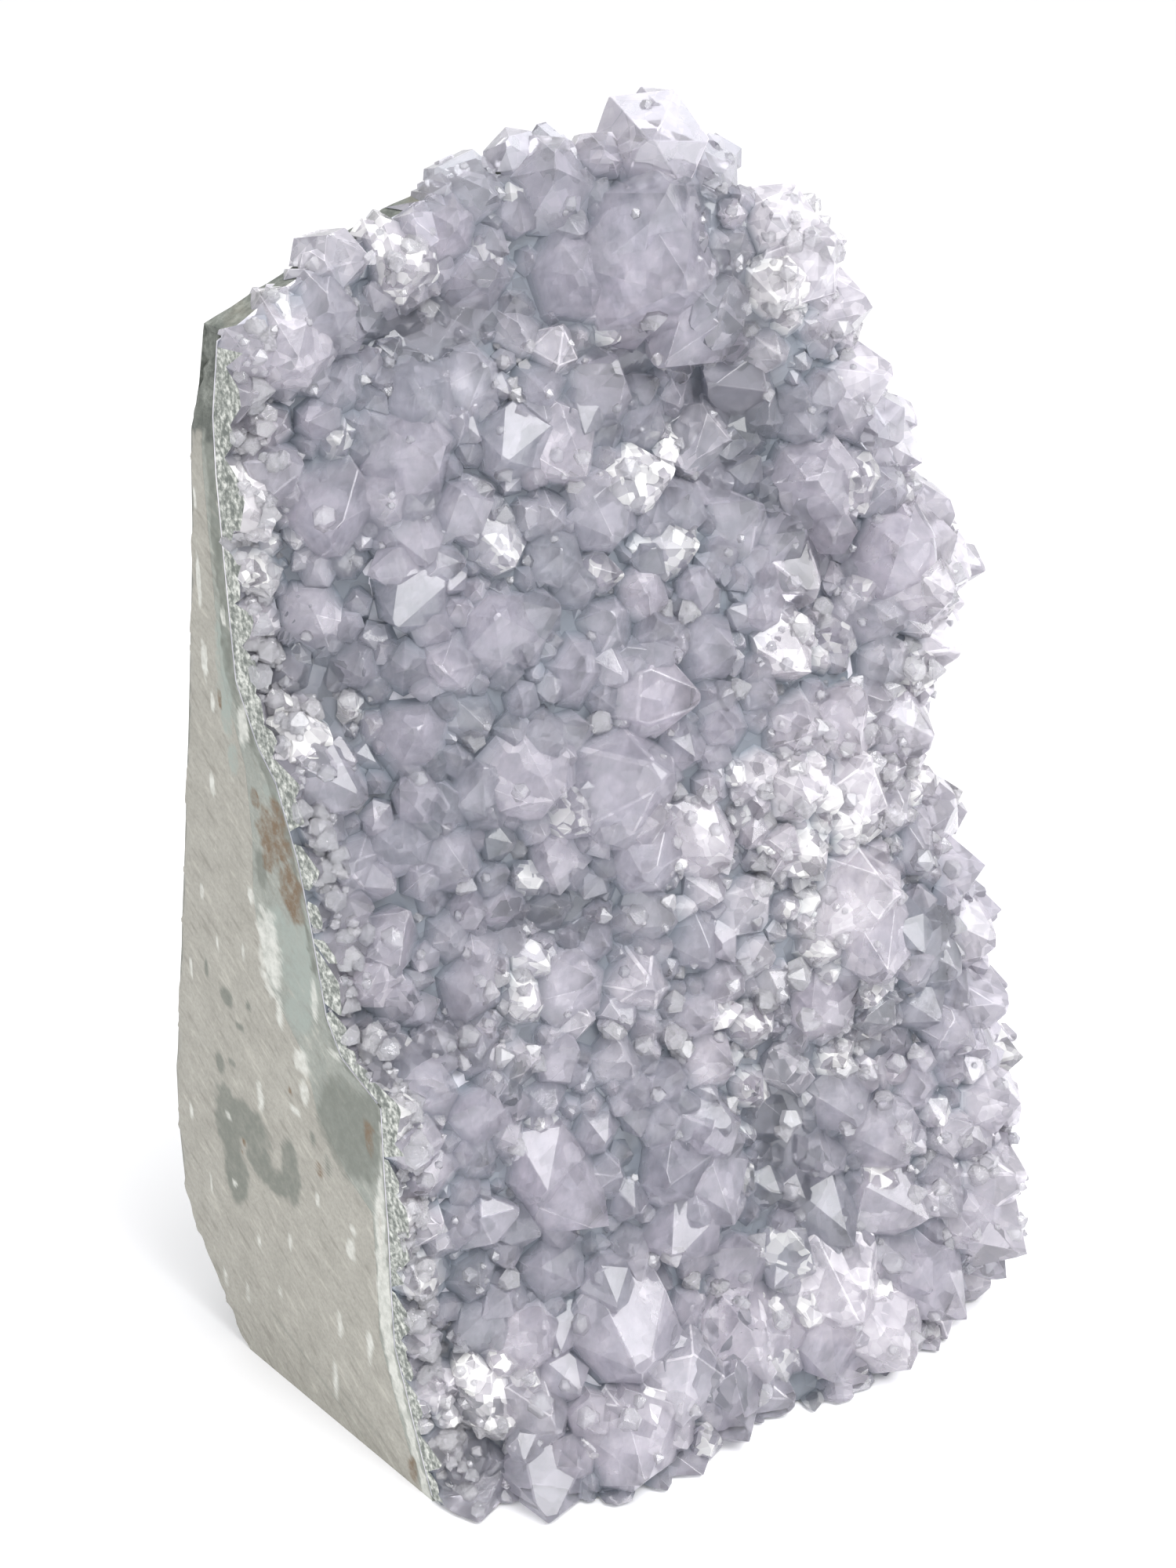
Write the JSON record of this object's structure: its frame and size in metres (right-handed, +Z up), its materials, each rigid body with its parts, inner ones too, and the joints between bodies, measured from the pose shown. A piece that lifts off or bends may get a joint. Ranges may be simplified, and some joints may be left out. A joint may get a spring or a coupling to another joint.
{
  "type": "amethyst crystal druse on basalt",
  "caption": "Natural pale amethyst druse: a crust of pointed quartz crystals over the leaning front of a basalt piece, sawn flat under the base and down the left side.",
  "frame": {"origin": "on the sawn base, 38 mm right of and 19 mm behind its front left corner, near the middle of the rock there", "axes": "+Z up, out of the sawn base toward the crystal peak; the crystals face -Y; the sawn side faces -X"},
  "size_m": [0.1002, 0.0709, 0.1495],
  "materials": {
    "basalt": "fine-sawn matt rock on the left side and base, rough broken rock elsewhere",
    "rind": "sawn, waxy, green-grey with white bands",
    "amethyst": "glassy translucent crystal faces, pale lilac-grey"
  },
  "bodies": {
    "root": {"basalt_matrix": "basalt", "agate_rind": "rind", "amethyst_crust": "amethyst"}
  },
  "joints": []
}
